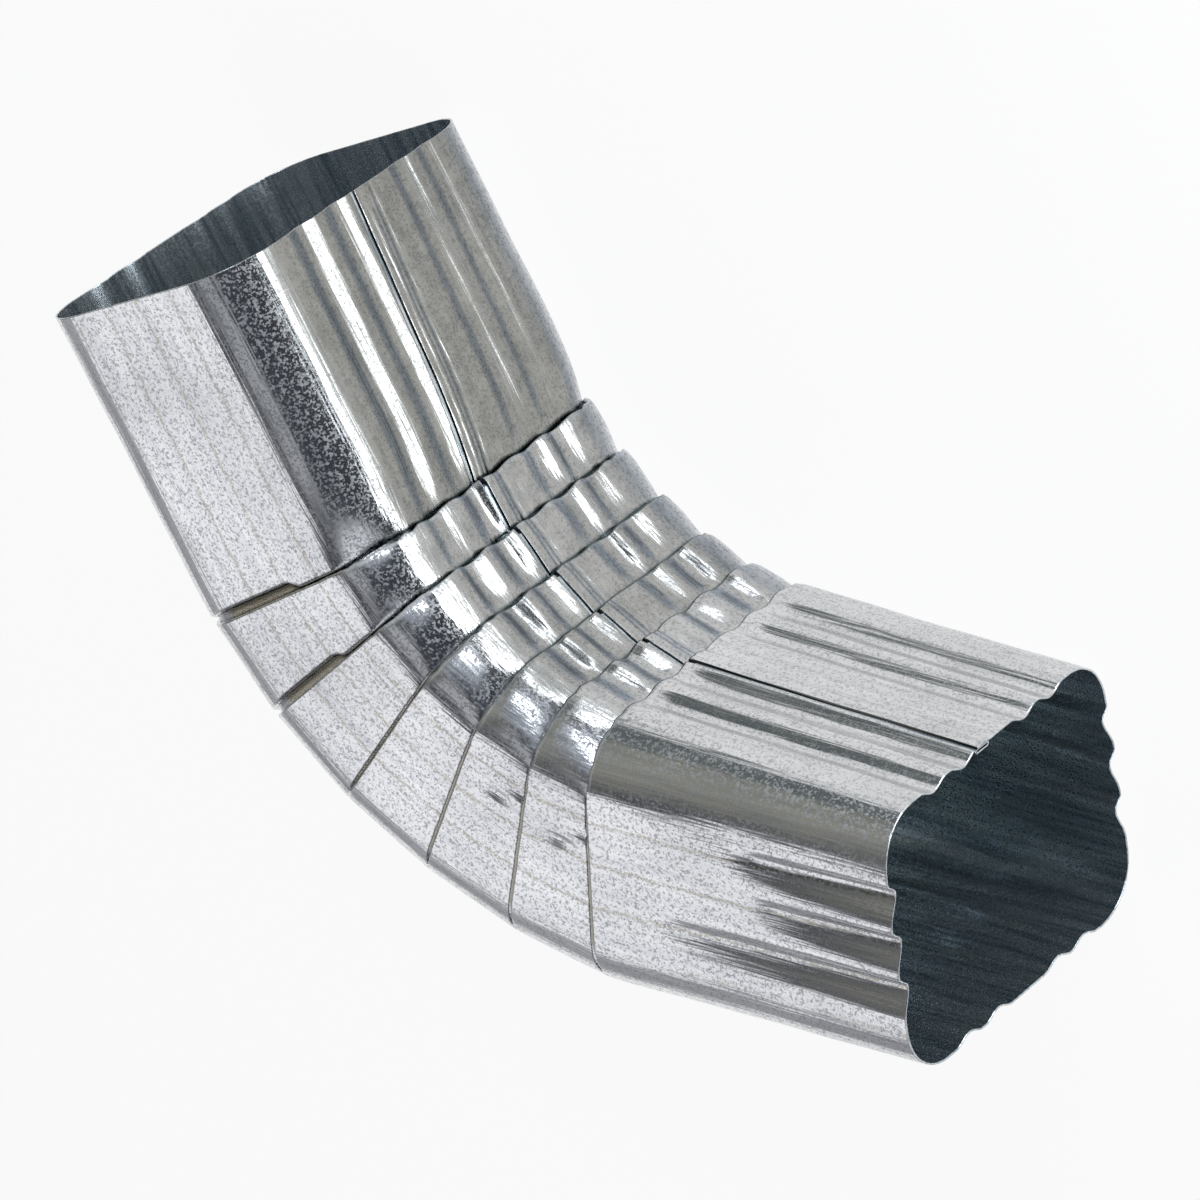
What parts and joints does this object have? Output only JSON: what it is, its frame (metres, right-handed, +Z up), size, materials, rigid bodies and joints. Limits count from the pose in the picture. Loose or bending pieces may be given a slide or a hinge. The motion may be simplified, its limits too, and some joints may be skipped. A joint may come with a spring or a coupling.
{
  "type": "downspout elbow",
  "caption": "Corrugated rectangular sheet-metal downspout elbow with crimped gores round its bend, a lock seam on the throat and one narrowed end.",
  "frame": {"origin": "centre of the bounding box in X and Y, at its lowest level: the side wall that the elbow lies on", "axes": "+X along the outlet arm towards its mouth, +Y towards the throat side of the bend, +Z up, across the two side walls"},
  "size_m": [0.2762, 0.2038, 0.108],
  "materials": {
    "galvanised_sheet": "hot-dip galvanised, fine spangle"
  },
  "bodies": {
    "root": {"elbow": "galvanised_sheet"}
  },
  "joints": []
}
